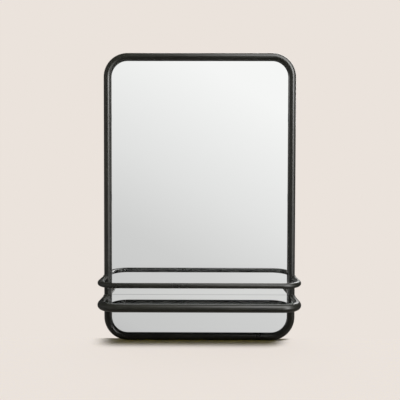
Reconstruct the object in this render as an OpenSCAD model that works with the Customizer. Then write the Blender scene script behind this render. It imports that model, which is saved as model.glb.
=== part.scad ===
// Wall mirror in a round tube frame, with a mirrored shelf and a guard rail.
// Millimetres. +Z is up, the front faces -Y and the wall is on the +Y side.
// The origin lies midway between the two keyhole entry holes, on the back
// face of the hanger plates.

/* [Frame] */
// Overall width of the frame
frame_w = 500; // [440:5:620]
// Overall height of the frame
frame_h = 750; // [600:5:900]
// Outside diameter of the frame tube
frame_tube_d = 20; // [18:0.5:24]
// Wall of the frame tube
frame_wall = 1.2; // [0.8:0.1:2]
// Bend radius of the frame corners, to the centre line of the tube
frame_bend_r = 52; // [40:1:80]

/* [Mirror and backing] */
// Thickness of the mirror glass
mirror_t = 4; // [3:0.5:5]
// Clearance between the glass or the board and the frame tube
edge_gap = 0.6; // [0.4:0.1:1.5]
// Thickness of the foam tape that bonds the glass to the board
tape_t = 1; // [0.8:0.1:1.5]
// Width of one strip of tape
tape_w = 25; // [15:1:35]
// Number of strips of tape
tape_count = 5; // [3:1:6]
// Distance from the tape to the bottom and side edges of the glass
tape_margin = 30; // [20:5:80]
// Distance from the top of the tape to the cut-outs behind the keyholes
tape_top_gap = 25; // [10:5:60]
// Thickness of the backing board
board_t = 4; // [3:0.5:5]

/* [Retaining tabs] */
// Thickness of the welded tabs and of the hanger plates
plate_t = 1.5; // [1:0.25:2]
// How far the back of the plates lies inside the back of the frame tube
plate_inset = 0.5; // [0.25:0.25:1]
// Width of a retaining tab, along the tube
tab_w = 20; // [14:1:30]
// Reach of a retaining tab from the centre line of the tube
tab_reach = 36; // [34:1:44]
// Number of tabs on each side tube
side_tabs = 3; // [2:1:4]
// Distance of a bottom tab from the nearest bend
bottom_tab_inset = 58; // [20:2:100]

/* [Hangers] */
// Distance of a keyhole from the nearest bend
hanger_inset = 18; // [16:1:60]
// Width of a hanger plate
hanger_w = 24; // [20:1:30]
// Height of the frame top above the keyhole entry holes
hook_drop = 48; // [44:1:70]
// Diameter of the keyhole's entry hole
entry_d = 10; // [9:0.5:12]
// Width of the keyhole's slot
slot_w = 5; // [4:0.5:6]
// Rise of the slot above the entry hole, to the centre of its round end
slot_rise = 13; // [11:0.5:15]
// Drop of the hanger's screw hole below the entry hole
hanger_screw_drop = 14; // [12:0.5:18]
// Drop of the hanger's wall bumper below the entry hole
hanger_bumper_drop = 28; // [26:0.5:36]
// Clearance round the keyhole that is cut out of the board
pocket_gap = 3; // [2:0.5:5]

/* [Fasteners and bumpers] */
// Diameter of a screw's shank
screw_d = 2.9; // [2.5:0.1:3.5]
// Diameter of a screw's head
screw_head_d = 6; // [5:0.25:7]
// Height of a screw's head
screw_head_h = 1.8; // [1.4:0.1:2.2]
// Clearance of the hole that a screw passes through in a plate, on diameter
screw_clear = 0.6; // [0.3:0.1:1]
// Clearance of the pilot hole in the board, on diameter
pilot_clear = 0.1; // [0.05:0.05:0.3]
// Distance from the tip of a screw to the front of the board
screw_tip_gap = 0.5; // [0.2:0.1:1]
// Diameter of a wall bumper
bumper_d = 10; // [8:0.5:12]
// Thickness of a wall bumper
bumper_t = 3; // [2.5:0.25:5]

/* [Rail and shelf ring] */
// How far the rail and the ring stand out of the frame at each side
basket_proud = 2; // [0:0.5:3]
// Distance from the frame's centre line to the centre line of the front bars
basket_reach = 106; // [90:1:150]
// Outside diameter of the guard rail's tube
rail_d = 13; // [10:0.5:15]
// Wall of the guard rail's tube
rail_wall = 1.2; // [0.8:0.1:1.5]
// Bend radius of the guard rail, to the centre line
rail_bend_r = 44; // [30:1:60]
// Height of the guard rail's centre line above the bottom of the frame
rail_h = 166; // [150:1:200]
// Outside diameter of the shelf ring's tube
ring_d = 20; // [18:0.5:24]
// Wall of the shelf ring's tube
ring_wall = 1.2; // [0.8:0.1:2]
// Bend radius of the shelf ring, to the centre line
ring_bend_r = 42; // [34:1:60]
// Height of the shelf ring's centre line above the bottom of the frame
ring_h = 112; // [90:1:125]
// How far a tube's end stops short of the middle of the frame tube
end_short = 2; // [1:0.5:4]

/* [Shelf] */
// Thickness of the mirrored shelf glass
shelf_t = 5; // [4:0.5:6]
// Drop of the shelf's top below the top of the shelf ring
shelf_drop = 2; // [1:0.25:3]
// Clearance between the shelf glass and the ring's tube
shelf_gap = 0.5; // [0.3:0.1:1.5]
// Gap between the back edge of the shelf glass and the mirror
shelf_back_gap = 1; // [0.5:0.25:3]
// Clearance where the shelf glass is cut round the frame tubes
notch_gap = 1; // [0.5:0.25:2]
// Thickness of a clear pad under the shelf glass
pad_t = 1; // [0.5:0.25:2]
// Diameter of a clear pad
pad_d = 8; // [6:0.5:10]
// Thickness of a shelf support tab
rest_t = 2; // [1.5:0.25:3]
// Width of a shelf support tab, along the tube
rest_w = 12; // [10:1:20]
// Length of a shelf support tab, from the inner side of the tube
rest_len = 14; // [12:1:20]
// Distance of a front support tab from the nearest bend
rest_front_inset = 70; // [20:5:120]
// Distance of the rear support tabs from the frame's centre line
rest_rear_y = 20; // [18:1:30]
// Distance between the two support tabs on one side
rest_side_pitch = 34; // [20:1:36]

/* [Hidden] */
$fn = 96;
// Length by which a cutter stands out of what it cuts
cut = 1;

// Depth of the layers, from the back of the plates forwards
plate_front = -plate_t;
board_front = plate_front - board_t;
tape_front = board_front - tape_t;
mirror_front = tape_front - mirror_t;
// Centre plane of the frame tube
tube_y = plate_inset - frame_tube_d / 2;

// Centre lines of the frame
frame_top = hook_drop;
frame_bottom = frame_top - frame_h;
side_x = (frame_w - frame_tube_d) / 2;
top_z = frame_top - frame_tube_d / 2;
bottom_z = frame_bottom + frame_tube_d / 2;
middle_z = (top_z + bottom_z) / 2;
side_run = top_z - bottom_z - 2 * frame_bend_r;
cross_run = 2 * (side_x - frame_bend_r);

// Half the width of a round tube at a distance from its centre plane
function chord(d, off) = sqrt(max(0, d * d / 4 - off * off));

// Outline of the mirror and of the board: how far each stays inside the
// frame's centre line
mirror_inset = frame_tube_d / 2 + edge_gap;
board_inset = chord(frame_tube_d, max(0, board_front - tube_y)) + edge_gap;

// Retaining tabs: [x, z, direction] of each, on the centre line of its tube
tab_pitch = side_run / side_tabs;
left_tabs = [for (i = [0 : side_tabs - 1])
    [-side_x, middle_z + (i - (side_tabs - 1) / 2) * tab_pitch, 0]];
right_tabs = [for (t = left_tabs) [-t[0], t[1], 180]];
bottom_tabs = [for (s = [-1, 1])
    [s * (cross_run / 2 - bottom_tab_inset), bottom_z, 90]];
top_tabs = [[0, top_z, -90]];
tabs = concat(left_tabs, right_tabs, bottom_tabs, top_tabs);
// The screw hole and the round end of a tab share one centre
tab_hole_x = tab_reach - tab_w / 2;
tab_bumper_x = (chord(frame_tube_d, plate_front - tube_y) + tab_hole_x
    - screw_head_d / 2) / 2;

// Hanger plates
hanger_x = cross_run / 2 - hanger_inset;
screw_len = plate_t + board_t - screw_tip_gap;

// Wall bumpers: [x, z] of each, two on the hangers and two on the low tabs
bumpers = [
    [-hanger_x, -hanger_bumper_drop],
    [hanger_x, -hanger_bumper_drop],
    [-side_x + tab_bumper_x, left_tabs[0][1]],
    [side_x - tab_bumper_x, right_tabs[0][1]]
];

// Rail, ring and shelf
front_y = tube_y - basket_reach;
rail_z = frame_bottom + rail_h;
ring_z = frame_bottom + ring_h;
shelf_top = ring_z + ring_d / 2 - shelf_drop;
shelf_bottom = shelf_top - shelf_t;
shelf_off = (shelf_bottom > ring_z) ? shelf_bottom - ring_z : 0;
shelf_inset = chord(ring_d, shelf_off) + shelf_gap;
basket_w = frame_w + 2 * basket_proud;
ring_x = (basket_w - ring_d) / 2;
rest_front_x = ring_x - ring_bend_r - rest_front_inset;
shelf_back = mirror_front - shelf_back_gap;
shelf_front = front_y + shelf_inset;
shelf_half = ring_x - shelf_inset;
shelf_corner_r = ring_bend_r - shelf_inset;
rest_top = shelf_bottom - pad_t;

// Support tabs: [x, y, direction] of each, on the centre line of its tube
side_rests = [for (s = [-1, 1], i = [0, 1])
    [s * ring_x, tube_y - rest_rear_y - i * rest_side_pitch, s < 0 ? 0 : 180]];
front_rests = [for (s = [-1, 1]) [s * rest_front_x, front_y, 90]];
rests = concat(side_rests, front_rests);
// A pad and the round end of its tab share one centre
pad_x = ring_d / 2 + rest_len - rest_w / 2;

// Tape: the distance from one strip to the next, and the ends of the strips
tape_pitch = 2 * (side_x - mirror_inset - tape_margin - tape_w / 2) / (tape_count - 1);
tape_top = -entry_d / 2 - pocket_gap - tape_top_gap;
tape_bottom = bottom_z + mirror_inset + tape_margin;

function names(stem, list) = [for (i = [1 : len(list)]) str(stem, i)];

// ---- Shared forms ----

// Cross-section of a round tube
module tube_section(d, wall) {
    difference() {
        circle(d = d);
        circle(d = d - 2 * wall);
    }
}

// Straight tube along +Z, centred on its length
module tube_run(len, d, wall) {
    translate([0, 0, -len / 2]) linear_extrude(len) tube_section(d, wall);
}

// Quarter bend about the Z axis, from the +X direction to the +Y direction
module tube_bend(bend_r, d, wall) {
    rotate_extrude(angle = 90) translate([bend_r, 0]) tube_section(d, wall);
}

// Flat plate from y0 to y1, from an outline drawn in X and Z
module sheet(y0, y1) {
    translate([0, y1, 0]) rotate([90, 0, 0]) linear_extrude(y1 - y0) children();
}

// Strip from the origin along +X, w wide, with a round end about end_x
module strip(end_x, w) {
    translate([0, -w / 2]) square([end_x, w]);
    translate([end_x, 0]) circle(d = w);
}

// Rectangle with round corners, inside the frame's centre line by an inset
module frame_outline(inset) {
    half_x = side_x - inset;
    half_z = (top_z - bottom_z) / 2 - inset;
    r = frame_bend_r - inset;
    translate([0, middle_z]) {
        square([2 * half_x, 2 * (half_z - r)], center = true);
        square([2 * (half_x - r), 2 * half_z], center = true);
        for (sx = [-1, 1], sz = [-1, 1])
            translate([sx * (half_x - r), sz * (half_z - r)]) circle(r = r);
    }
}

// U of round tube that lies level: two side runs, two bends and a front bar.
// Its back ends are coped to sit on the frame's side tubes.
module coped_u(d, wall, bend_r, z) {
    half = (basket_w - d) / 2;
    side_len = basket_reach - bend_r - end_short;
    difference() {
        translate([0, 0, z]) {
            for (s = [-1, 1])
                translate([s * half, tube_y - end_short - side_len / 2, 0])
                    rotate([90, 0, 0]) tube_run(side_len, d, wall);
            translate([half - bend_r, front_y + bend_r, 0])
                rotate([0, 0, -90]) tube_bend(bend_r, d, wall);
            translate([-half + bend_r, front_y + bend_r, 0])
                rotate([0, 0, 180]) tube_bend(bend_r, d, wall);
            translate([0, front_y, 0])
                rotate([0, 90, 0]) tube_run(2 * (half - bend_r), d, wall);
        }
        for (s = [-1, 1])
            translate([s * side_x, tube_y, z])
                cylinder(d = frame_tube_d, h = d + 2 * cut, center = true);
    }
}

// Puts a tab on its tube: local +X runs from the centre line inwards
module at_tab(t) {
    translate([t[0], 0, t[1]]) rotate([0, -t[2], 0]) children();
}

// Puts a support tab on the shelf ring: local +X runs inwards
module at_rest(r) {
    translate([r[0], r[1], 0]) rotate([0, 0, r[2]]) children();
}

// Pan-head screw with a cross recess, its head on the back of the plates
module board_screw() {
    recess_w = screw_head_d / 7;
    recess_l = screw_head_d * 0.55;
    recess_h = screw_head_h / 2;
    dome_r = (pow(screw_head_d / 2, 2) + pow(screw_head_h, 2)) / (2 * screw_head_h);
    difference() {
        rotate([-90, 0, 0]) rotate_extrude() intersection() {
            translate([0, screw_head_h - dome_r]) circle(r = dome_r);
            square([screw_head_d / 2, screw_head_h]);
        }
        for (a = [0, 90])
            rotate([0, a, 0])
                translate([-recess_l / 2, screw_head_h - recess_h, -recess_w / 2])
                    cube([recess_l, recess_h + cut, recess_w]);
    }
    rotate([90, 0, 0]) cylinder(d = screw_d, h = screw_len);
}

// Places of all the screws
module at_screws() {
    for (t = tabs)
        at_tab(t) translate([tab_hole_x, 0, 0]) children();
    for (s = [-1, 1])
        translate([s * hanger_x, 0, -hanger_screw_drop]) children();
}

// Keyhole, drawn in X and Z, with a margin all round
module keyhole_outline(margin) {
    circle(d = entry_d + 2 * margin);
    translate([0, slot_rise]) circle(d = slot_w + 2 * margin);
    translate([-slot_w / 2 - margin, 0]) square([slot_w + 2 * margin, slot_rise]);
}

// ---- Frame ----

// One tube, bent at four corners and closed on itself
module frame_tube() {
    color("#1f201d") translate([0, tube_y, 0]) {
        for (s = [-1, 1])
            translate([s * side_x, 0, middle_z])
                tube_run(side_run, frame_tube_d, frame_wall);
        for (z = [bottom_z, top_z])
            translate([0, 0, z])
                rotate([0, 90, 0]) tube_run(cross_run, frame_tube_d, frame_wall);
        for (c = [[1, 1, 0], [-1, 1, 90], [-1, -1, 180], [1, -1, 270]])
            translate([c[0] * cross_run / 2, 0, middle_z + c[1] * side_run / 2])
                rotate([90, -c[2], 0])
                    tube_bend(frame_bend_r, frame_tube_d, frame_wall);
    }
}

module mirror_glass() {
    color("#d9dcda") sheet(mirror_front, tape_front) frame_outline(mirror_inset);
}

// One strip of foam tape, between the glass and the board
module tape_strip(i) {
    color("#e8e6e0")
        translate([(i - (tape_count + 1) / 2) * tape_pitch - tape_w / 2,
            tape_front, tape_bottom])
            cube([tape_w, tape_t, tape_top - tape_bottom]);
}

// Fibreboard, cut out behind the keyholes and drilled for the screws
module backing_board() {
    color("#6b4f37") difference() {
        sheet(board_front, plate_front) frame_outline(board_inset);
        for (s = [-1, 1])
            translate([s * hanger_x, 0, 0])
                sheet(board_front - cut, plate_front + cut)
                    keyhole_outline(pocket_gap);
        at_screws() rotate([90, 0, 0])
            cylinder(d = screw_d + pilot_clear, h = plate_t + board_t + cut);
    }
}

// Steel tab, coped to the frame tube that it is welded to
module retaining_tab(t) {
    color("#262724") at_tab(t) difference() {
        sheet(plate_front, 0) strip(tab_hole_x, tab_w);
        translate([0, tube_y, 0])
            cylinder(d = frame_tube_d, h = tab_w + 2 * cut, center = true);
        translate([tab_hole_x, cut, 0]) rotate([90, 0, 0])
            cylinder(d = screw_d + screw_clear, h = plate_t + 2 * cut);
    }
}

module board_screws() {
    color("#b9b9b4") at_screws() board_screw();
}

// Steel plate with a keyhole, coped to the frame's top tube that it hangs from
module hanger_plate(side) {
    color("#262724") difference() {
        translate([side * hanger_x, 0, top_z]) rotate([0, 90, 0])
            sheet(plate_front, 0) strip(top_z + hanger_bumper_drop, hanger_w);
        translate([side * hanger_x, tube_y, top_z]) rotate([0, 90, 0])
            cylinder(d = frame_tube_d, h = hanger_w + 2 * cut, center = true);
        translate([side * hanger_x, 0, 0])
            sheet(plate_front - cut, cut) keyhole_outline(0);
        translate([side * hanger_x, cut, -hanger_screw_drop]) rotate([90, 0, 0])
            cylinder(d = screw_d + screw_clear, h = plate_t + 2 * cut);
    }
}

// Rubber disc that keeps the screw heads off the wall, its rim eased
module wall_bumper(b) {
    ease = bumper_t / 5;
    r = bumper_d / 2;
    color("#3a3a38") translate([b[0], 0, b[1]]) rotate([-90, 0, 0])
        rotate_extrude() polygon([
            [0, 0], [r, 0], [r, bumper_t - ease], [r - ease, bumper_t], [0, bumper_t]
        ]);
}

// ---- Rail and shelf ----

module guard_rail() {
    color("#2a2c28") coped_u(rail_d, rail_wall, rail_bend_r, rail_z);
}

module shelf_ring() {
    color("#242622") coped_u(ring_d, ring_wall, ring_bend_r, ring_z);
}

// Outline of the shelf glass seen from above, round at the front corners and
// cut away round the frame's side tubes
module shelf_outline() {
    depth = shelf_back - shelf_front;
    r = shelf_corner_r;
    difference() {
        union() {
            translate([-shelf_half, shelf_front + r])
                square([2 * shelf_half, depth - r]);
            translate([-shelf_half + r, shelf_front])
                square([2 * (shelf_half - r), depth]);
            for (s = [-1, 1])
                translate([s * (shelf_half - r), shelf_front + r]) circle(r = r);
        }
        for (s = [-1, 1])
            translate([s * side_x, tube_y]) circle(d = frame_tube_d + 2 * notch_gap);
    }
}

module shelf_glass() {
    color("#cfd6d2") translate([0, 0, shelf_bottom])
        linear_extrude(shelf_t) shelf_outline();
}

// Steel tab under the shelf glass, coped to the ring that it is welded to
module shelf_rest(r) {
    color("#242622") at_rest(r) difference() {
        translate([0, 0, rest_top - rest_t])
            linear_extrude(rest_t) strip(pad_x, rest_w);
        translate([0, 0, ring_z]) rotate([90, 0, 0])
            cylinder(d = ring_d, h = rest_w + 2 * cut, center = true);
    }
}

// Clear disc between a support tab and the shelf glass
module shelf_pad(r) {
    color("#e4e8e6") at_rest(r) translate([pad_x, 0, rest_top])
        cylinder(d = pad_d, h = pad_t);
}

frame_tube();
mirror_glass();
backing_board();
for (i = [1 : tape_count])
    tape_strip(i);
for (i = [1 : len(tabs)])
    retaining_tab(tabs[i - 1]);
board_screws();
hanger_plate(-1);  // hanger_plate_left
hanger_plate(1);  // hanger_plate_right
for (i = [1 : len(bumpers)])
    wall_bumper(bumpers[i - 1]);
guard_rail();
shelf_ring();
shelf_glass();
for (i = [1 : len(rests)])
    shelf_rest(rests[i - 1]);
for (i = [1 : len(rests)])
    shelf_pad(rests[i - 1]);
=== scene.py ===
# %% [markdown]
# # A wall mirror with a shelf
# The mirror hangs in a closed frame of round steel tube. A ring of the same tube carries a
# mirrored shelf, and a thinner guard rail runs above it. The exact solids come from the
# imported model, so this script adds what a solid model can't hold: the finish of every
# surface, the weld beads, the light and the camera. All lengths are in metres.

# %% Load the model
import math

import bmesh
import bpy
from mathutils import Matrix, Vector


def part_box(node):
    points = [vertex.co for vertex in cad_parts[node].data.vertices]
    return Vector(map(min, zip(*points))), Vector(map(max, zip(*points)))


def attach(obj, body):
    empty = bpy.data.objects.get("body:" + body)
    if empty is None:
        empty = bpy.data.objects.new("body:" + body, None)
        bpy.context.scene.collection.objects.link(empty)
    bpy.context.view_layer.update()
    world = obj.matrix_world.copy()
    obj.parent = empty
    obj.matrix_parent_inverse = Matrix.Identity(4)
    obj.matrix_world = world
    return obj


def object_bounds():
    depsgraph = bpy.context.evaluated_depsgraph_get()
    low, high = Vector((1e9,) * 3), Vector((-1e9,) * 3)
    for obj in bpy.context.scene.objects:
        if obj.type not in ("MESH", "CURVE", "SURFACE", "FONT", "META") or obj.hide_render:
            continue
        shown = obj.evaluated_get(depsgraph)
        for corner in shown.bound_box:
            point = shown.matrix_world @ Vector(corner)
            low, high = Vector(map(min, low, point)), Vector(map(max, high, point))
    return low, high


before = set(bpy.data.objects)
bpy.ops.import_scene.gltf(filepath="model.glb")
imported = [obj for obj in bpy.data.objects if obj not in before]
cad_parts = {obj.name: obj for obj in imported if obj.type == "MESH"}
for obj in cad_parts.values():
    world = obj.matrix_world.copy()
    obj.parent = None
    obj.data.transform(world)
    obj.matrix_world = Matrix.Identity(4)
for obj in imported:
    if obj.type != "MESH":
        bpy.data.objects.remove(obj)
cad_low, cad_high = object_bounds()
print("CAD box", [round(v, 4) for v in (*cad_low, *cad_high)])

# %% [markdown]
# ## Sizes that several pieces share
# The weld beads have to sit on the tubes. The tubes' sizes could be typed again here, but
# then a change of the model would leave the beads behind, so they are read from the boxes
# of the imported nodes. The frame tube is as thick as its box is deep, and a rail is as thick
# as its box is high.

# %% Read the frame tube
frame_low, frame_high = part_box("frame_tube")
frame_r = (frame_high.y - frame_low.y) / 2
tube_y = (frame_high.y + frame_low.y) / 2
side_x = frame_high.x - frame_r
print("frame tube radius", round(frame_r, 4), "side centre lines at x", round(side_x, 4))

# %% [markdown]
# ## Camera
# The picture was taken straight on from about 1.2 m, at the height of the mirror's middle.
# A camera can be placed by eye, but a mirror shows every error, so its place, tilt and lens
# were solved from the edges of the tubes and are measured values. A camera looks along its
# own -Z axis, so it is first tipped up by a right angle to look along +Y.

# %% Place the camera
EYE = Vector((0.0059, -1.1755, -0.3064))
YAW = math.radians(0.234)
PITCH = math.radians(-1.317)
ROLL = math.radians(-0.117)
LENS_MM = 40.12
NEAREST_SEEN = 0.01

camera_data = bpy.data.cameras.new("camera")
camera_data.lens = LENS_MM
camera_data.clip_start = NEAREST_SEEN
camera = bpy.data.objects.new("camera", camera_data)
camera.matrix_world = (
    Matrix.Translation(EYE)
    @ Matrix.Rotation(YAW, 4, "Z")
    @ Matrix.Rotation(math.pi / 2 + PITCH, 4, "X")
    @ Matrix.Rotation(-ROLL, 4, "Z")
)
bpy.context.scene.collection.objects.link(camera)
bpy.context.scene.camera = camera
bpy.context.scene.view_settings.view_transform = "Standard"
print("camera at", [round(v, 3) for v in EYE], "lens", LENS_MM)

# %% [markdown]
# ## Helpers for shader trees
# A finish is a small tree of nodes. It could be wired line by line, but the same few steps
# come back in every finish, so each is a helper. A socket takes a plain value or the output
# of another node, written as (node, output). Colours are written as they read on a colour
# card, from 0 to 255, and turned into the linear values of a shader.

# %% Node helpers
def card(red, green, blue):
    """A colour-card colour as the linear colour that a shader wants."""
    def linear(level):
        share = level / 255
        return share / 12.92 if share <= 0.04045 else ((share + 0.055) / 1.055) ** 2.4
    return (linear(red), linear(green), linear(blue), 1.0)


def fill(tree, socket, value):
    """Gives a socket a plain value, or joins it to (node, output)."""
    if isinstance(value, tuple) and isinstance(value[0], bpy.types.Node):
        tree.links.new(value[0].outputs[value[1]], socket)
    else:
        socket.default_value = value


def add(tree, kind, *ordered, settings=None, **named):
    """Adds a node and fills its sockets, by order or by name."""
    made = tree.nodes.new(kind)
    for name, value in (settings or {}).items():
        setattr(made, name, value)
    for index, value in enumerate(ordered):
        fill(tree, made.inputs[index], value)
    for name, value in named.items():
        fill(tree, made.inputs[name.replace("_", " ")], value)
    return made


print("warm white is", [round(v, 3) for v in card(235, 227, 220)])

# %% Colour helpers
def ramp(tree, source, stops):
    """A colour ramp over (node, output). A stop is a place from 0 to 1 and a colour."""
    made = add(tree, "ShaderNodeValToRGB", source)
    elements = made.color_ramp.elements
    while len(elements) < len(stops):
        elements.new(0.5)
    for element, (at, colour) in zip(elements, stops):
        element.position = at
        element.color = colour
    return made, "Color"


COLOUR_A, COLOUR_B, COLOUR_OUT = 6, 7, 2


def cover(tree, mask, under, over):
    """Covers one colour with another where the mask is 1."""
    made = add(tree, "ShaderNodeMix", mask, settings={"data_type": "RGBA"})
    fill(tree, made.inputs[COLOUR_A], under)
    fill(tree, made.inputs[COLOUR_B], over)
    return made, COLOUR_OUT


print("a colour mix takes its colours at sockets", COLOUR_A, "and", COLOUR_B)

# %% Number helpers
def scaled(tree, source, low, high, start=0.0, end=1.0, ease="LINEAR"):
    """Maps a value that runs from start to end onto the range from low to high."""
    made = add(tree, "ShaderNodeMapRange", settings={"interpolation_type": ease},
               Value=source, From_Min=start, From_Max=end, To_Min=low, To_Max=high)
    return made, "Result"


def math_node(tree, operation, first, second):
    """One step of arithmetic on two values."""
    settings = {"operation": operation}
    return add(tree, "ShaderNodeMath", first, second, settings=settings), 0


def agreement(tree, first, second):
    """How far two directions agree, from -1 to 1."""
    settings = {"operation": "DOT_PRODUCT"}
    return add(tree, "ShaderNodeVectorMath", first, second, settings=settings), "Value"


print("number helpers ready")

# %% [markdown]
# ## Effects that several finishes share
# Paint, board, zinc and rubber share a few effects: a pebbled skin, a film of dust on what
# faces up, and edges where the finish has rubbed thin. The mirrors have to know which way a
# face looks. Each effect could be wired again in every material, but it is built once, as a
# node group that gives out a mask or a height, and placed with its own values.

# %% Group helpers
def new_group(name, **inputs):
    """A shader group with number inputs and one number output. Gives group, in and out."""
    group = bpy.data.node_groups.new(name, "ShaderNodeTree")
    for socket, value in inputs.items():
        made = group.interface.new_socket(
            socket.replace("_", " "), in_out="INPUT", socket_type="NodeSocketFloat")
        made.default_value = value
    group.interface.new_socket("Result", in_out="OUTPUT", socket_type="NodeSocketFloat")
    return group, group.nodes.new("NodeGroupInput"), group.nodes.new("NodeGroupOutput")


def place(tree, group, **values):
    """Places a group with its own values and gives its result."""
    made = add(tree, "ShaderNodeGroup", settings={"node_tree": group}, **values)
    return made, "Result"


def noise(tree, per_metre, detail=2.0, roughness=0.5, stretch=None):
    """Cloudy noise on the piece's own coordinates, stretched along its axes if asked."""
    at = add(tree, "ShaderNodeTexCoord"), "Object"
    if stretch:
        at = add(tree, "ShaderNodeMapping", Vector=at, Scale=stretch), "Vector"
    made = add(tree, "ShaderNodeTexNoise", Vector=at, Scale=per_metre, Detail=detail,
               Roughness=roughness)
    return made, "Fac"


print("group helpers ready")

# %% Pebbled skin
# A powder coat melts into a skin of shallow pebbles about a millimetre apart, with a much
# finer grain on top of them.
GRAIN_SHARE = 0.3
pebbled, given, result = new_group(
    "pebbled_skin", Pebbles_per_metre=900.0, Grain_per_metre=4200.0)
pebbles = noise(pebbled, (given, "Pebbles per metre"))
grain = noise(pebbled, (given, "Grain per metre"), detail=1.0)
fine = math_node(pebbled, "MULTIPLY", grain, GRAIN_SHARE)
fill(pebbled, result.inputs["Result"], math_node(pebbled, "ADD", pebbles, fine))
print("made group", pebbled.name)

# %% Settled dust
# Dust lies on what faces up. The mask is the upward part of the normal, broken into
# patches by a cloudy noise.
LEAST_UPWARD = 0.35
PATCH_THIN, PATCH_THICK = 0.35, 0.75
dust, given, result = new_group("settled_dust", Amount=0.2, Clouds_per_metre=60.0)
normal = add(dust, "ShaderNodeNewGeometry"), "Normal"
upward = add(dust, "ShaderNodeSeparateXYZ", normal), "Z"
facing_up = scaled(dust, upward, 0.0, 1.0, start=LEAST_UPWARD)
clouds = noise(dust, (given, "Clouds per metre"), detail=6.0, roughness=0.65)
patches = scaled(dust, clouds, 0.0, 1.0, start=PATCH_THIN, end=PATCH_THICK)
film = math_node(dust, "MULTIPLY", facing_up, patches)
fill(dust, result.inputs["Result"], math_node(dust, "MULTIPLY", film, (given, "Amount")))
print("made group", dust.name)

# %% Rubbed edges
# Paint rubs thin on corners. Where a rounded normal differs from the true one there is an
# edge, and a patchy noise decides how much of it has rubbed.
EDGE_BEGINS, EDGE_IS_FULL = 0.99, 0.85
WEAR_BEGINS, WEAR_IS_FULL = 0.42, 0.6
rubbed, given, result = new_group(
    "rubbed_edges", Width=0.0006, Patches_per_metre=350.0, Amount=0.6)
rounded = add(rubbed, "ShaderNodeBevel", Radius=(given, "Width")), "Normal"
true = add(rubbed, "ShaderNodeNewGeometry"), "Normal"
edge = scaled(rubbed, agreement(rubbed, rounded, true), 0.0, 1.0,
              start=EDGE_BEGINS, end=EDGE_IS_FULL)
worn = scaled(rubbed, noise(rubbed, (given, "Patches per metre"), detail=4.0), 0.0, 1.0,
              start=WEAR_BEGINS, end=WEAR_IS_FULL)
rub = math_node(rubbed, "MULTIPLY", edge, worn)
fill(rubbed, result.inputs["Result"], math_node(rubbed, "MULTIPLY", rub, (given, "Amount")))
print("made group", rubbed.name)

# %% Facing side
# A mirror is silvered on one side only, so its finish has to know which way a face looks.
# The mask is 1 where the normal lies along the given direction.
LEAST_AGREEMENT = 0.5
facing, given, result = new_group("facing_side", X=0.0, Y=-1.0, Z=0.0)
silver_way = add(facing, "ShaderNodeCombineXYZ", *[(given, axis) for axis in "XYZ"]), "Vector"
normal = add(facing, "ShaderNodeNewGeometry"), "Normal"
faces_it = math_node(
    facing, "GREATER_THAN", agreement(facing, normal, silver_way), LEAST_AGREEMENT)
fill(facing, result.inputs["Result"], faces_it)
print("made group", facing.name)

# %% Material helpers
def bare_material(name):
    """A material with an empty tree. Gives the material and its tree."""
    material = bpy.data.materials.new(name)
    material.use_nodes = True
    material.node_tree.nodes.clear()
    return material, material.node_tree


def new_material(name):
    """A material with a Principled shader. Gives the material, its tree and the shader."""
    material, tree = bare_material(name)
    output = tree.nodes.new("ShaderNodeOutputMaterial")
    shader = tree.nodes.new("ShaderNodeBsdfPrincipled")
    fill(tree, output.inputs["Surface"], (shader, "BSDF"))
    return material, tree, shader


def dress(tree, shader, colour, roughness, height, depth, strength):
    """Gives a shader its colour and roughness, and a height in metres bends its normal."""
    fill(tree, shader.inputs["Base Color"], colour)
    fill(tree, shader.inputs["Roughness"], roughness)
    bump = add(tree, "ShaderNodeBump", Height=height, Distance=depth, Strength=strength)
    fill(tree, shader.inputs["Normal"], (bump, "Normal"))


print("material helpers ready")

# %% [markdown]
# ## Black powder coat
# The tubes are black with a satin skin: almost no colour of their own, and a soft clear
# reflection. One flat black would look like plastic, so the black leans a little to olive
# where the coat is thin, the gloss wanders along the tube, and a trace of dust breaks it
# up. One maker gives the coat of the tubes and the duller coat of the small plates, which
# has rubbed through at the plates' corners.

# %% Powder coat
DUST = card(150, 145, 138)
BARE_STEEL = card(122, 120, 115)
DRIFTS_PER_METRE = 14.0
PEBBLE_DEPTH, PEBBLE_STRENGTH = 0.00002, 0.15


def powder_coat(name, deep, thin, smooth, rough, wear):
    """A satin coat from a deep to a thin colour, its roughness between two values."""
    material, tree, shader = new_material(name)
    drift = noise(tree, DRIFTS_PER_METRE, detail=3.0, roughness=0.55)
    colour = ramp(tree, drift, [(0.35, deep), (0.7, thin)])
    colour = cover(tree, place(tree, dust, Amount=0.04, Clouds_per_metre=90.0), colour, DUST)
    if wear:
        colour = cover(tree, place(tree, rubbed, Amount=wear), colour, BARE_STEEL)
    dress(tree, shader, colour, scaled(tree, drift, smooth, rough),
          place(tree, pebbled), PEBBLE_DEPTH, PEBBLE_STRENGTH)
    return material


tube_coat = powder_coat("tube_coat", card(30, 30, 26), card(37, 37, 31),
                        smooth=0.24, rough=0.34, wear=0.0)
plate_coat = powder_coat("plate_coat", card(28, 28, 26), card(38, 38, 33),
                         smooth=0.35, rough=0.5, wear=0.7)
print("materials", tube_coat.name, plate_coat.name)

# %% [markdown]
# ## Silvered glass
# A mirror is clear float glass with silver behind it and grey paint over the silver. It
# could be built up in layers, but seen from the front only the silver counts, so the front
# is a smooth metal in the silver's grey. The cut edges show the green of the glass, and the
# back shows the paint. The tubes' satin paint sees the silver a fifth darker, so that the
# mirror beside them draws no brighter band on them than it does in the picture.

# %% Satin reflections
def in_satin(tree, path):
    """A mask that is 1 for a satin reflection and 0 for a sharp one and for other rays."""
    return math_node(tree, "SUBTRACT", (path, "Is Glossy Ray"), (path, "Is Singular Ray"))


print("satin mask ready")

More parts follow.
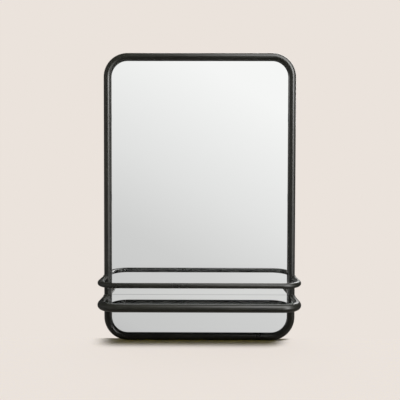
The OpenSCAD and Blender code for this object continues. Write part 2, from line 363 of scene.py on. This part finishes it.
# %% Mirror finish
BACKING_PAINT = card(104, 110, 112)
SILVER_LOSS = 0.2
GROUND_EDGE = 0.35


def silvered(name, front, silver, edge):
    """Silvered glass whose reflecting side looks along front, with an edge colour."""
    material, tree, shader = new_material(name)
    side = place(tree, facing, X=front.x, Y=front.y, Z=front.z)
    back = place(tree, facing, X=-front.x, Y=-front.y, Z=-front.z)
    plain = cover(tree, back, edge, BACKING_PAINT)
    satin = in_satin(tree, add(tree, "ShaderNodeLightPath"))
    loss = math_node(tree, "MULTIPLY", satin, SILVER_LOSS)
    dulled = cover(tree, loss, silver, card(0, 0, 0))
    fill(tree, shader.inputs["Base Color"], cover(tree, side, plain, dulled))
    fill(tree, shader.inputs["Metallic"], side)
    not_silver = math_node(tree, "SUBTRACT", 1.0, side)
    fill(tree, shader.inputs["Roughness"], math_node(tree, "MULTIPLY", not_silver, GROUND_EDGE))
    return material


wall_mirror = silvered("silvered_wall_mirror", Vector((0, -1, 0)),
                       silver=card(248, 249, 248), edge=card(96, 128, 112))
shelf_mirror = silvered("silvered_shelf", Vector((0, 0, 1)),
                        silver=card(207, 207, 206), edge=card(196, 208, 202))
print("materials", wall_mirror.name, shelf_mirror.name)

# %% [markdown]
# ## Back of the mirror
# The back is plain and cheap: a brown fibreboard with pressed fibres, white foam tape
# between the board and the glass, zinc-plated screws, rubber bumpers and clear pads. A
# picture of each could be wrapped round it, but noise in real sizes needs no unwrapping and
# stays sharp up close. They are seen from behind and from below.

# %% Fibreboard
fibreboard, tree, shader = new_material("fibreboard")
fibres = noise(tree, per_metre=220.0, detail=5.0, roughness=0.7, stretch=(1.0, 1.0, 0.35))
flecks = noise(tree, per_metre=700.0)
brown = ramp(tree, fibres, [
    (0.3, card(116, 84, 58)), (0.55, card(141, 106, 76)), (0.75, card(160, 126, 94)),
])
dark_fleck = scaled(tree, flecks, 0.0, 0.55, start=0.62, end=0.72)
brown = cover(tree, dark_fleck, brown, card(86, 60, 42))
brown = cover(tree, place(tree, rubbed, Amount=0.5), brown, card(176, 146, 114))
dress(tree, shader, brown, scaled(tree, fibres, 0.62, 0.82), fibres, depth=0.0002, strength=0.5)
print("material", fibreboard.name)

# %% Foam tape
foam, tree, shader = new_material("foam_tape")
cells = noise(tree, per_metre=2600.0, detail=1.0)
white = ramp(tree, cells, [(0.35, card(205, 203, 196)), (0.65, card(232, 230, 223))])
dress(tree, shader, white, scaled(tree, cells, 0.75, 0.9), cells, depth=0.0001, strength=0.6)
print("material", foam.name)

# %% Zinc plating
zinc, tree, shader = new_material("zinc_plating")
shader.inputs["Metallic"].default_value = 1.0
bloom = noise(tree, per_metre=500.0, detail=4.0)
plated = ramp(tree, bloom, [
    (0.3, card(172, 176, 180)), (0.55, card(200, 200, 196)), (0.75, card(206, 200, 182)),
])
plated = cover(tree, place(tree, rubbed, Width=0.0003, Amount=0.5), plated, card(228, 228, 226))
dress(tree, shader, plated, scaled(tree, bloom, 0.28, 0.5), bloom, depth=0.00002, strength=0.4)
print("material", zinc.name)

# %% Rubber
rubber, tree, shader = new_material("rubber")
skin = noise(tree, per_metre=1800.0, detail=3.0)
black = ramp(tree, skin, [(0.3, card(42, 42, 41)), (0.7, card(56, 56, 54))])
black = cover(tree, place(tree, dust, Amount=0.3, Clouds_per_metre=300.0), black, DUST)
dress(tree, shader, black, scaled(tree, skin, 0.7, 0.9), skin, depth=0.00005, strength=0.5)
print("material", rubber.name)

# %% Clear pad
clear_pad, tree, shader = new_material("clear_pad")
shader.inputs["Transmission Weight"].default_value = 0.85
shader.inputs["IOR"].default_value = 1.41
cloudy = noise(tree, per_metre=900.0)
milky = ramp(tree, cloudy, [(0.3, card(222, 228, 226)), (0.7, card(240, 243, 242))])
dress(tree, shader, milky, scaled(tree, cloudy, 0.12, 0.3), cloudy, depth=0.00005, strength=0.4)
print("material", clear_pad.name)

# %% [markdown]
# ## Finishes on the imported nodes
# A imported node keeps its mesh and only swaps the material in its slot. Each node could be
# named on a line of its own, but the start of its name already says what it is made of.

# %% Hand out the finishes
FINISHES = {
    "frame_tube": tube_coat,
    "guard_rail": tube_coat,
    "shelf_ring": tube_coat,
    "mirror_glass": wall_mirror,
    "shelf_glass": shelf_mirror,
    "backing_board": fibreboard,
    "tape_strip": foam,
    "board_screws": zinc,
    "wall_bumper": rubber,
    "shelf_pad": clear_pad,
    "retaining_tab": plate_coat,
    "hanger_plate": plate_coat,
    "shelf_rest": plate_coat,
}
for name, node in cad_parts.items():
    finish = next(material for start, material in FINISHES.items() if name.startswith(start))
    for material_slot in node.material_slots:
        material_slot.material = finish
print("finished", len(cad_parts), "nodes with", len(set(FINISHES.values())), "materials")

# %% [markdown]
# ## Weld beads
# The rails and the tabs are welded to the tubes, and a weld leaves a small rippled bead in
# the corner. A bump could hint at it, but a bead shows in the outline, so it is a shape.
# Round a rail it is a thin ring: a circle spun about the rail's axis, then pushed back onto
# the frame tube's round face. Its ripples are a slight change of thickness. Along a tab it
# is a short rippled roll, drawn out step by step.

# %% Bead helpers
def into_scene(shape, name, material):
    """Turns a bmesh into an object in one material."""
    mesh = bpy.data.meshes.new(name)
    shape.to_mesh(mesh)
    shape.free()
    mesh.materials.append(material)
    piece = bpy.data.objects.new(name, mesh)
    bpy.context.scene.collection.objects.link(piece)
    return piece


def weld(shape, name):
    """Turns a bmesh into a smooth bead that rides on the body, in the tubes' paint."""
    bmesh.ops.recalc_face_normals(shape, faces=shape.faces)
    for face in shape.faces:
        face.smooth = True
    piece = into_scene(shape, name, tube_coat)
    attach(piece, "root")
    return piece


print("bead helpers ready")

# %% Bead round a rail
BEAD_R = 0.0011
BEAD_SIDES = 10
BEAD_STEPS = 144
BEAD_OUT = 0.2
RIPPLE = 0.14
RIPPLE_LONG = 0.002
LEAST_DEPTH = 0.25
beads = []


def rail_bead(name, node, side):
    """A bead where a node's tube meets the frame tube, on the side -1 or 1."""
    low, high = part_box(node)
    rail_r = (high.z - low.z) / 2
    middle_x, middle_z = side * (high.x - rail_r), (high.z + low.z) / 2
    ring = bmesh.new()
    start = bmesh.ops.create_circle(ring, segments=BEAD_SIDES, radius=BEAD_R)["verts"]
    bmesh.ops.rotate(ring, verts=start, matrix=Matrix.Rotation(math.pi / 2, 3, "Z"))
    bmesh.ops.translate(ring, verts=start, vec=(rail_r + BEAD_R * BEAD_OUT, 0, 0))
    bmesh.ops.spin(ring, geom=ring.verts[:] + ring.edges[:], cent=(0, 0, 0), axis=(0, 1, 0),
                   angle=math.tau, steps=BEAD_STEPS, use_merge=True)
    ripples = round(math.tau * rail_r / RIPPLE_LONG)
    for vert in ring.verts:
        turn = math.atan2(vert.co.z, vert.co.x)
        swell = 1 + RIPPLE * math.sin(ripples * turn)
        ground = Vector((vert.co.x, 0, vert.co.z)).normalized() * rail_r
        vert.co = ground + (vert.co - ground) * swell
        over = abs(middle_x + ground.x) - side_x
        depth = math.sqrt(max(frame_r ** 2 - over ** 2, (LEAST_DEPTH * frame_r) ** 2))
        vert.co += Vector((middle_x, tube_y - depth, middle_z))
        vert.co.x = max(cad_low.x, min(cad_high.x, vert.co.x))
    return weld(ring, name)


for node in ("guard_rail", "shelf_ring"):
    for side, word in ((-1, "left"), (1, "right")):
        beads.append(rail_bead("weld_" + node + "_" + word, node, side))
print("beads round the rails:", len(beads))

# %% Rippled roll
TAB_BEAD_R = 0.0013
STEPS_A_RIPPLE = 5
END_SIZE, END_POWER = 0.35, 8


def roll_bead(name, start, end):
    """A short rippled roll from start to end, closed at both ends."""
    roll = bmesh.new()
    bmesh.ops.create_circle(roll, segments=BEAD_SIDES, radius=TAB_BEAD_R, cap_ends=True)
    length = (end - start).length
    steps = round(length / (RIPPLE_LONG / STEPS_A_RIPPLE))
    edges = list(roll.edges)
    for _ in range(steps):
        made = bmesh.ops.extrude_edge_only(roll, edges=edges)["geom"]
        loop = [item for item in made if isinstance(item, bmesh.types.BMVert)]
        edges = [item for item in made if isinstance(item, bmesh.types.BMEdge)]
        bmesh.ops.translate(roll, verts=loop, vec=(0, 0, length / steps))
    bmesh.ops.contextual_create(roll, geom=edges)
    for vert in roll.verts:
        along_roll = vert.co.z / length
        taper = max(END_SIZE, 1 - abs(2 * along_roll - 1) ** END_POWER)
        swell = taper * (1 + RIPPLE * math.sin(math.tau * vert.co.z / RIPPLE_LONG))
        vert.co.x *= swell
        vert.co.y *= swell
    turned = (end - start).to_track_quat("Z", "Y").to_matrix().to_4x4()
    bmesh.ops.transform(roll, verts=roll.verts, matrix=Matrix.Translation(start) @ turned)
    return weld(roll, name)


print("roll radius", TAB_BEAD_R)

# %% Bead along a tab
TAB_BEAD_SINK = 0.35
NEAR_SIDE_TUBE = 0.05


def tab_bead(node):
    """The two ends of the bead where a tab or plate touches the frame tube."""
    low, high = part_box(node)
    back_y = high.y - TAB_BEAD_R * TAB_BEAD_SINK
    if abs(low.x + high.x) / 2 > side_x - NEAR_SIDE_TUBE:
        edge_x = math.copysign(max(abs(low.x), abs(high.x)), low.x)
        return Vector((edge_x, back_y, low.z)), Vector((edge_x, back_y, high.z))
    edge_z = high.z if high.z > 0 else low.z
    return Vector((low.x, back_y, edge_z)), Vector((high.x, back_y, edge_z))


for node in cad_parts:
    if node.startswith(("retaining_tab", "hanger_plate")):
        beads.append(roll_bead("weld_" + node, *tab_bead(node)))
print("beads in all:", len(beads))

# %% [markdown]
# ## Floor
# The mirror stands upright on a pale floor for its picture. The floor is one large flat
# sheet that touches the lowest tube and catches its soft shadow. A sheet that hides what is
# behind it would spoil the views from below, so the paint is see-through from there. Sharp
# reflections look through it as well, because they show the studio's own soft shading.
# Satin paint sees it in a darker tone, and only close to the mirror.

# %% Floor paint
FLOOR_IN_PAINT = card(130, 127, 121)
NEAR_FLOOR = 0.45
PALE = card(235, 227, 220)
PALER = card(236, 228, 221)

floor_paint, tree, shader = new_material("floor_paint")
shader.inputs["Specular IOR Level"].default_value = 0.0
mottle = noise(tree, per_metre=2.5, detail=3.0)
shade = ramp(tree, mottle, [(0.3, PALE), (0.7, PALER)])
floor_path = add(tree, "ShaderNodeLightPath")
satin = in_satin(tree, floor_path)
fill(tree, shader.inputs["Base Color"], cover(tree, satin, shade, FLOOR_IN_PAINT))
fill(tree, shader.inputs["Roughness"], scaled(tree, mottle, 0.85, 0.95))
under = add(tree, "ShaderNodeNewGeometry"), "Backfacing"
spot = add(tree, "ShaderNodeTexCoord"), "Object"
away = add(tree, "ShaderNodeVectorMath", spot, settings={"operation": "LENGTH"}), "Value"
far = math_node(tree, "GREATER_THAN", away, math.hypot(cad_low.z, NEAR_FLOOR))
unseen = math_node(tree, "MAXIMUM", under, (floor_path, "Is Singular Ray"))
unseen = math_node(tree, "MAXIMUM", unseen, math_node(tree, "MULTIPLY", satin, far))
clear = add(tree, "ShaderNodeBsdfTransparent"), "BSDF"
one_sided = add(tree, "ShaderNodeMixShader", unseen, (shader, "BSDF"), clear), "Shader"
output = next(node for node in tree.nodes if node.type == "OUTPUT_MATERIAL")
fill(tree, output.inputs["Surface"], one_sided)
print("material", floor_paint.name)

# %% Floor
FLOOR_HALF = 14.0
FLOOR_GAP = 0.0003
floor_z = cad_low.z - FLOOR_GAP

floor_sheet = bmesh.new()
bmesh.ops.create_grid(floor_sheet, x_segments=1, y_segments=1, size=FLOOR_HALF)
bmesh.ops.translate(floor_sheet, verts=floor_sheet.verts, vec=(0, 0, floor_z))
floor = into_scene(floor_sheet, "studio_floor", floor_paint)
print("floor at z", round(floor_z, 4))

# %% [markdown]
# ## Backdrop
# A pale wall stands right behind the mirror and meets the floor there. A real wall would
# need light of its own and would shade the mirror's back, so this one shows one even tone
# to the camera and nothing to anything else: it throws no light, hides no lamp and is
# see-through from behind.

# %% Backdrop paint
backdrop_paint, tree = bare_material("backdrop_paint")
even_tone = add(tree, "ShaderNodeEmission", Color=PALE, Strength=1.0), "Emission"
clear = add(tree, "ShaderNodeBsdfTransparent"), "BSDF"
in_camera = add(tree, "ShaderNodeLightPath"), "Is Camera Ray"
behind = add(tree, "ShaderNodeNewGeometry"), "Backfacing"
seen = math_node(tree, "MULTIPLY", in_camera, math_node(tree, "SUBTRACT", 1.0, behind))
shown = add(tree, "ShaderNodeMixShader", seen, clear, even_tone), "Shader"
add(tree, "ShaderNodeOutputMaterial", Surface=shown)
backdrop_paint.cycles.emission_sampling = "NONE"
print("material", backdrop_paint.name)

# %% Backdrop
UPRIGHT = Matrix.Rotation(math.pi / 2, 4, "X")
wall_y = cad_high.y + FLOOR_GAP

backdrop_sheet = bmesh.new()
bmesh.ops.create_grid(backdrop_sheet, x_segments=1, y_segments=1, size=FLOOR_HALF,
                      matrix=UPRIGHT)
bmesh.ops.translate(backdrop_sheet, verts=backdrop_sheet.verts,
                    vec=(0, wall_y, floor_z + FLOOR_HALF))
backdrop = into_scene(backdrop_sheet, "studio_backdrop", backdrop_paint)
print("backdrop at y", round(wall_y, 4))

# %% [markdown]
# ## World
# The world is the rest of the studio. One even world would do for matt things, but a mirror
# and a satin tube show what stands round them, so each kind of ray gets a room of its own.
# The camera sees the same pale tone as the floor, so that no horizon shows. The mirrors see
# a neutral wall that is brightest up to the right and dims towards the lower left. Satin
# paint sees a dim room with a wide glow on the right, a smaller one above it and a weak one
# on the left. They draw the bright band along each tube, which is strongest near the top.
# Matt surfaces get a weak even light, because lamps do their lighting.

# %% Directions and an empty world
def direction(right_degrees, up_degrees):
    """A unit vector from the object towards the front, turned right and then up."""
    right, up = math.radians(right_degrees), math.radians(up_degrees)
    return Vector((math.sin(right) * math.cos(up), -math.cos(right) * math.cos(up), math.sin(up)))


def grey(level):
    """A neutral colour of a linear level."""
    return (level, level, level, 1.0)


world = bpy.data.worlds.new("studio")
bpy.context.scene.world = world
world.use_nodes = True
world.cycles.sampling_method = "NONE"
tree = world.node_tree
tree.nodes.clear()
looking = add(tree, "ShaderNodeTexCoord"), "Generated"
path = add(tree, "ShaderNodeLightPath")
print("world", world.name)

# %% Wall seen in the mirrors
BRIGHT_WAY = Vector((0.494, 0.0, 0.87))
brightward = scaled(tree, agreement(tree, looking, BRIGHT_WAY), 0.0, 1.0, start=-1.0, end=1.0)
room_colour = ramp(tree, brightward, [
    (0.0, grey(0.30)), (0.30, grey(0.50)), (0.34, grey(0.60)), (0.42, grey(0.66)),
    (0.50, grey(0.80)), (0.62, grey(0.97)), (0.8, grey(1.0)),
])
print("mirrors see", len(room_colour[0].color_ramp.elements), "tones")

# %% Dim room seen in satin paint
DIM_ROOM = 0.07
GLOW_LEVEL = 1.9
GLOW_WAY = direction(43, -4)
GLOW_EDGE, GLOW_CORE = 42, 5
HIGH_LEVEL = 8.0
HIGH_WAY = direction(34, 18)
HIGH_EDGE, HIGH_CORE = 18, 4
LEFT_LEVEL = 0.3
LEFT_WAY = direction(-60, 0)
LEFT_EDGE, LEFT_CORE = 60, 15


def patch(way, edge_degrees, core_degrees, level):
    """A round patch of light that fades from its core to its edge."""
    edge, core = math.radians(edge_degrees), math.radians(core_degrees)
    return scaled(tree, agreement(tree, looking, way), 0.0, level,
                  start=math.cos(edge), end=math.cos(core), ease="SMOOTHSTEP")


glow = patch(GLOW_WAY, GLOW_EDGE, GLOW_CORE, GLOW_LEVEL)
high_glow = patch(HIGH_WAY, HIGH_EDGE, HIGH_CORE, HIGH_LEVEL)
left_glow = patch(LEFT_WAY, LEFT_EDGE, LEFT_CORE, LEFT_LEVEL)
satin_level = math_node(tree, "ADD", math_node(tree, "ADD", glow, left_glow), DIM_ROOM)
satin_level = math_node(tree, "ADD", satin_level, high_glow)
satin_room = add(tree, "ShaderNodeBackground", Color=grey(1.0), Strength=satin_level), "Background"
print("dim room", DIM_ROOM, "with a glow of", GLOW_LEVEL)

# %% Room seen by way of a mirror
# Paint beside the mirror catches a lamp in it that stands high on the left. Paint that is
# itself seen in a mirror shows the room at the third reflection, and there it counts for
# more.
BOUNCE_LEVEL = 7.0
BOUNCE_WAY = direction(-75, 25)
BOUNCE_EDGE, BOUNCE_CORE = 28, 8
THIRD_LEVEL = 1.5


def deeper(tree, path, kind, bounces):
    """A mask that is 1 for a ray with more than that many bounces of a kind behind it."""
    return math_node(tree, "GREATER_THAN", (path, kind + " Depth"), bounces + 0.5)


bounce_glow = patch(BOUNCE_WAY, BOUNCE_EDGE, BOUNCE_CORE, BOUNCE_LEVEL)
second = deeper(tree, path, "Glossy", 1)
third = deeper(tree, path, "Glossy", 2)
mirror_level = math_node(tree, "ADD", math_node(tree, "MULTIPLY", second, bounce_glow), 1.0)
third_more = math_node(tree, "MULTIPLY", third, THIRD_LEVEL)
mirror_level = math_node(tree, "ADD", mirror_level, third_more)
mirror_room = add(tree, "ShaderNodeBackground", Color=room_colour,
                  Strength=mirror_level), "Background"
print("a lamp of", BOUNCE_LEVEL, "shows by way of the mirror")

# %% Who sees what
EVEN_LIGHT = 0.12
even = add(tree, "ShaderNodeBackground", Color=grey(1.0), Strength=EVEN_LIGHT), "Background"
pale = add(tree, "ShaderNodeBackground", Color=PALE, Strength=1.0), "Background"
direct = math_node(tree, "SUBTRACT", 1.0, deeper(tree, path, "Diffuse", 0))
satin_rays = math_node(tree, "MULTIPLY", (path, "Is Glossy Ray"), direct)
sharp_rays = math_node(tree, "MAXIMUM", (path, "Is Singular Ray"), (path, "Is Transmission Ray"))
sharp_rays = math_node(tree, "MULTIPLY", sharp_rays, direct)
studio = add(tree, "ShaderNodeMixShader", satin_rays, even, satin_room), "Shader"
studio = add(tree, "ShaderNodeMixShader", sharp_rays, studio, mirror_room), "Shader"
studio = add(tree, "ShaderNodeMixShader", (path, "Is Camera Ray"), studio, pale), "Shader"
add(tree, "ShaderNodeOutputWorld", Surface=studio)
print("even light", EVEN_LIGHT)

# %% [markdown]
# ## Lamps
# A soft sun from the upper right does the matt lighting. One sun could light the floor too,
# but the shadow in the picture is softer, and the two rails leave none in it. So the floor
# has suns of its own, in a small fan, and a weak warm fill without shadows tints the
# shadow. On the floor the suns, the fill and the even light add up to one, so its colour
# renders as it is written. A fill from behind lights only the object, for views of its back.

# %% Lamp helpers
CENTRE = (cad_low + cad_high) / 2
SUN_AWAY = 3.0


def lamp(name, kind, way, energy, away=SUN_AWAY, **settings):
    """A lamp that stands in a direction from the object and is aimed at its middle."""
    data = bpy.data.lights.new(name, kind)
    data.energy = energy
    for setting, value in settings.items():
        setattr(data, setting, value)
    made = bpy.data.objects.new(name, data)
    made.location = CENTRE + way * away
    made.rotation_euler = way.to_track_quat("Z", "Y").to_euler()
    bpy.context.scene.collection.objects.link(made)
    return made


def lit_group(name, members, keep):
    """A collection for light linking: only the members, or everything but them."""
    group = bpy.data.collections.new(name)
    for member in members:
        group.objects.link(member)
    for linked in group.collection_objects:
        linked.light_linking.link_state = "INCLUDE" if keep else "EXCLUDE"
    return group


only_floor = lit_group("only_floor", [floor], True)
all_but_floor = lit_group("all_but_floor", [floor], False)
rails = [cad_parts["shelf_ring"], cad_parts["guard_rail"]]
all_but_rails = lit_group("all_but_rails", rails, False)
print("lamps aim at", [round(v, 3) for v in CENTRE])

# %% Suns on the floor
# FULL_SUN is the strength at which a sun from the key's height lights a level white floor
# to exactly one.
KEY_UP = 63
KEY_TURNS = (4, 12, 20, 28, 36)
KEY_WIDTH = 16
WARM_FILL = (0.04, 0.034, 0.0)
FROM_ABOVE = direction(0, 90)
FULL_SUN = math.pi / math.sin(math.radians(KEY_UP))

floor_share = [1 - EVEN_LIGHT - warm for warm in WARM_FILL]
for turn in KEY_TURNS:
    key = lamp("key_floor_" + str(turn), "SUN", direction(turn, KEY_UP),
               FULL_SUN * max(floor_share) / len(KEY_TURNS), angle=math.radians(KEY_WIDTH),
               color=[share / max(floor_share) for share in floor_share])
    key.visible_glossy = False
    key.light_linking.receiver_collection = only_floor
    key.light_linking.blocker_collection = all_but_rails
warm_fill = lamp("warm_fill", "SUN", FROM_ABOVE, math.pi * max(WARM_FILL),
                 use_shadow=False, color=[level / max(WARM_FILL) for level in WARM_FILL])
warm_fill.visible_glossy = False
warm_fill.light_linking.receiver_collection = only_floor
print("floor share", [round(share, 3) for share in floor_share])

# %% Lamps on the object
OBJECT_KEY_TURN, OBJECT_KEY_WIDTH = 30, 40
BACK_TURN, BACK_UP, BACK_AWAY = 165, 28, 2.5
BACK_WATTS = 50
BACK_WIDE, BACK_HIGH = 2.0, 1.5

object_key = lamp("key_object", "SUN", direction(OBJECT_KEY_TURN, KEY_UP),
                  FULL_SUN * (1 - EVEN_LIGHT), angle=math.radians(OBJECT_KEY_WIDTH))
object_key.visible_glossy = False
object_key.light_linking.receiver_collection = all_but_floor
back_fill = lamp("back_fill", "AREA", direction(BACK_TURN, BACK_UP), BACK_WATTS, away=BACK_AWAY,
                 shape="RECTANGLE", size=BACK_WIDE, size_y=BACK_HIGH)
back_fill.visible_camera = False
back_fill.light_linking.receiver_collection = all_but_floor

# %% [markdown]
# ## Soft box
# A soft box up to the right draws the light along the tops of the tubes. An area lamp would
# also light the matt surfaces, which have their sun already, so the soft box is a glowing
# disc, brightest in its middle. Only satin reflections see it.

# %% Soft box cloth
BOX_LEVEL = 5.5
BOX_AWAY = 1.8
BOX_RADIUS, BOX_CORE = 1.3, 0.4
BOX_WAY = direction(39, 49)
box_middle = CENTRE + BOX_WAY * BOX_AWAY

box_cloth, tree = bare_material("soft_box_cloth")
spot = add(tree, "ShaderNodeTexCoord"), "Object"
from_middle = add(tree, "ShaderNodeVectorMath", spot, box_middle,
                  settings={"operation": "DISTANCE"}), "Value"
fall = scaled(tree, from_middle, 0.0, BOX_LEVEL, start=BOX_RADIUS, end=BOX_CORE,
              ease="SMOOTHSTEP")
box_path = add(tree, "ShaderNodeLightPath")
in_matt = deeper(tree, box_path, "Diffuse", 0)
hidden = math_node(tree, "MAXIMUM", (box_path, "Is Singular Ray"), in_matt)
shown_level = math_node(tree, "MULTIPLY", fall, math_node(tree, "SUBTRACT", 1.0, hidden))
lit = add(tree, "ShaderNodeEmission", Strength=shown_level), "Emission"
clear = add(tree, "ShaderNodeBsdfTransparent"), "BSDF"
shown = add(tree, "ShaderNodeAddShader", lit, clear), "Shader"
add(tree, "ShaderNodeOutputMaterial", Surface=shown)
box_cloth.cycles.emission_sampling = "NONE"
print("soft box", BOX_LEVEL, "at", [round(v, 2) for v in box_middle])

# %% Soft box
BOX_SIDES = 64


def only_in_reflections(piece):
    """Hides a piece from everything but reflections."""
    piece.visible_camera = False
    piece.visible_diffuse = False
    piece.visible_transmission = False
    piece.visible_shadow = False


box_disc = bmesh.new()
bmesh.ops.create_circle(box_disc, cap_ends=True, segments=BOX_SIDES, radius=BOX_RADIUS)
turned = (-BOX_WAY).to_track_quat("Z", "Y").to_matrix().to_4x4()
bmesh.ops.transform(box_disc, verts=box_disc.verts,
                    matrix=Matrix.Translation(box_middle) @ turned)
soft_box = into_scene(box_disc, "studio_soft_box", box_cloth)
only_in_reflections(soft_box)
print("soft box radius", BOX_RADIUS)

# %% [markdown]
# ## Dark flag
# Near the floor the frame is almost black in the picture. The paint could be darker there,
# but it is the light that changes, so a low dark card in front of the frame takes the glow
# away from the lowest tubes, as a photographer's flag does. Only satin reflections see it.

# %% Flag felt
FELT_LEVEL = 0.01

felt, tree = bare_material("flag_felt")
dark = add(tree, "ShaderNodeEmission", Strength=FELT_LEVEL), "Emission"
clear = add(tree, "ShaderNodeBsdfTransparent"), "BSDF"
sharp = add(tree, "ShaderNodeLightPath"), "Is Singular Ray"
shown = add(tree, "ShaderNodeMixShader", sharp, dark, clear), "Shader"
add(tree, "ShaderNodeOutputMaterial", Surface=shown)
felt.cycles.emission_sampling = "NONE"
print("material", felt.name)

# %% Flag
FLAG_HALF = 1.0
FLAG_AWAY, FLAG_TOP = 0.2, 0.1

flag_sheet = bmesh.new()
bmesh.ops.create_grid(flag_sheet, x_segments=1, y_segments=1, size=FLAG_HALF, matrix=UPRIGHT)
for vert in flag_sheet.verts:
    vert.co.z = cad_low.z + (FLAG_TOP if vert.co.z > 0 else 0.0)
    vert.co.y = cad_high.y - FLAG_AWAY
flag = into_scene(flag_sheet, "studio_flag", felt)
only_in_reflections(flag)
print("flag", FLAG_TOP, "m high")
